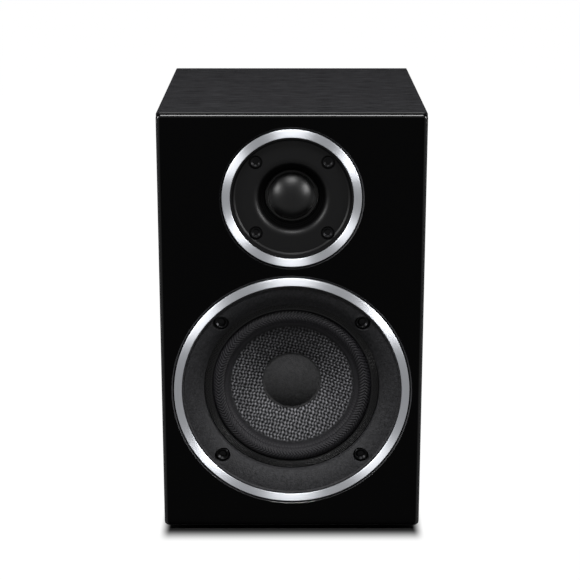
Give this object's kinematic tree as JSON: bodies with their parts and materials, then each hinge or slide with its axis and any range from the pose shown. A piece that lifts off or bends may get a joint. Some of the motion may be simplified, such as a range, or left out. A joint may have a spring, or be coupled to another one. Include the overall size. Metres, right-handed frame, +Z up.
{
  "type": "bookshelf speaker",
  "caption": "Compact two-way bookshelf loudspeaker: gloss baffle, woven-cone woofer and soft-dome tweeter in brushed rings, vinyl cabinet, rear port and binding posts.",
  "frame": {"origin": "on the floor under the middle of the whole object", "axes": "+Z up, -Y out of the front baffle, +X to the right as seen from the front"},
  "size_m": [0.143, 0.1764, 0.236],
  "materials": {
    "gloss_black": "high-gloss black lacquer on fibreboard",
    "black_ash_vinyl": "matt black wood-grain vinyl on fibreboard",
    "brushed_aluminium": "circular brushed",
    "textured_frame": "fine-textured matt black coating",
    "black_moulding": "matt black moulding",
    "black_rubber": "matt",
    "foam_gasket": "closed-cell foam",
    "woven_cone": "coated plain weave",
    "felt_cap": "matt",
    "soft_dome": "coated silk",
    "spider_cloth": "resin-stiffened cloth",
    "damping_wool": "fibre wadding",
    "black_steel": "black oxide",
    "motor_steel": "zinc plated",
    "ferrite": "ground ferrite",
    "former_foil": "thin foil",
    "copper_winding": "enamelled copper wire",
    "plated_brass": "plated",
    "red_plastic": "moulded",
    "black_plastic": "moulded",
    "board_laminate": "glass laminate",
    "component_sleeve": "sleeved",
    "component_body": "cement filled",
    "wire_insulation": "insulated"
  },
  "bodies": {
    "cabinet": {"bass_inductor": "copper_winding", "black_collar": "black_plastic", "black_post": "plated_brass", "bottom_panel": "black_ash_vinyl", "crossover_board": "board_laminate", "crossover_capacitors": "component_sleeve", "crossover_resistor": "component_body", "crossover_screws": "black_steel", "crossover_spacers": "board_laminate", "damping_wadding": "damping_wool", "front_baffle": "gloss_black", "internal_leads": "wire_insulation", "left_panel": "black_ash_vinyl", "post_nuts": "plated_brass", "rear_panel": "black_ash_vinyl", "red_collar": "red_plastic", "red_post": "plated_brass", "reflex_port": "black_moulding", "right_panel": "black_ash_vinyl", "rubber_feet": "black_rubber", "solder_tags": "plated_brass", "terminal_cup": "black_moulding", "terminal_cup_gasket": "foam_gasket", "terminal_cup_screws": "black_steel", "top_panel": "black_ash_vinyl", "treble_inductor": "copper_winding", "tweeter_back_plate": "motor_steel", "tweeter_faceplate": "black_moulding", "tweeter_gasket": "foam_gasket", "tweeter_magnet": "ferrite", "tweeter_mount_ring": "black_moulding", "tweeter_screws": "black_steel", "tweeter_surround": "black_rubber", "tweeter_terminal_tabs": "plated_brass", "tweeter_top_plate": "motor_steel", "tweeter_trim_ring": "brushed_aluminium", "woofer_back_plate": "motor_steel", "woofer_clamp_ring": "black_moulding", "woofer_frame": "textured_frame", "woofer_gasket": "foam_gasket", "woofer_magnet": "ferrite", "woofer_screws": "black_steel", "woofer_spider": "spider_cloth", "woofer_surround": "black_rubber", "woofer_terminal_board": "board_laminate", "woofer_terminal_tabs": "plated_brass", "woofer_tinsel_leads": "copper_winding", "woofer_top_plate": "motor_steel", "woofer_trim_ring": "brushed_aluminium"},
    "woofer_diaphragm": {"woofer_cone": "woven_cone", "woofer_dust_cap": "felt_cap", "woofer_coil_former": "former_foil", "woofer_voice_coil": "copper_winding"},
    "tweeter_diaphragm": {"tweeter_dome": "soft_dome", "tweeter_coil_former": "former_foil", "tweeter_voice_coil": "copper_winding"},
    "red_clamp": {"red_clamp_washer": "plated_brass"},
    "red_grip": {"red_knob": "red_plastic"},
    "black_clamp": {"black_clamp_washer": "plated_brass"},
    "black_grip": {"black_knob": "black_plastic"}
  },
  "joints": [
    {"name": "woofer_travel", "type": "slide", "parent": "cabinet", "child": "woofer_diaphragm", "axis": [0, -1, 0], "range_m": [-0.003, 0.003], "stiffness_N_per_m": 1000, "deforming": ["woofer_surround", "woofer_spider", "woofer_tinsel_leads"]},
    {"name": "tweeter_travel", "type": "slide", "parent": "cabinet", "child": "tweeter_diaphragm", "axis": [0, -1, 0], "range_m": [-0.0004, 0.0004], "stiffness_N_per_m": 500, "deforming": ["tweeter_surround"]},
    {"name": "red_clamp_slide", "type": "slide", "parent": "cabinet", "child": "red_clamp", "axis": [0, 1, 0], "range_m": [0, 0.0032]},
    {"name": "red_knob_turn", "type": "hinge", "parent": "red_clamp", "child": "red_grip", "pos_m": [-0.016, 0.07945, 0.064], "axis": [0, 1, 0], "range_deg": [0, 1440]},
    {"name": "black_clamp_slide", "type": "slide", "parent": "cabinet", "child": "black_clamp", "axis": [0, 1, 0], "range_m": [0, 0.0032]},
    {"name": "black_knob_turn", "type": "hinge", "parent": "black_clamp", "child": "black_grip", "pos_m": [0.016, 0.07945, 0.064], "axis": [0, 1, 0], "range_deg": [0, 1440]}
  ],
  "couplings": [
    {"joint": "red_knob_turn", "follows": "red_clamp_slide", "rad_per_m": 7850},
    {"joint": "black_knob_turn", "follows": "black_clamp_slide", "rad_per_m": 7850}
  ]
}
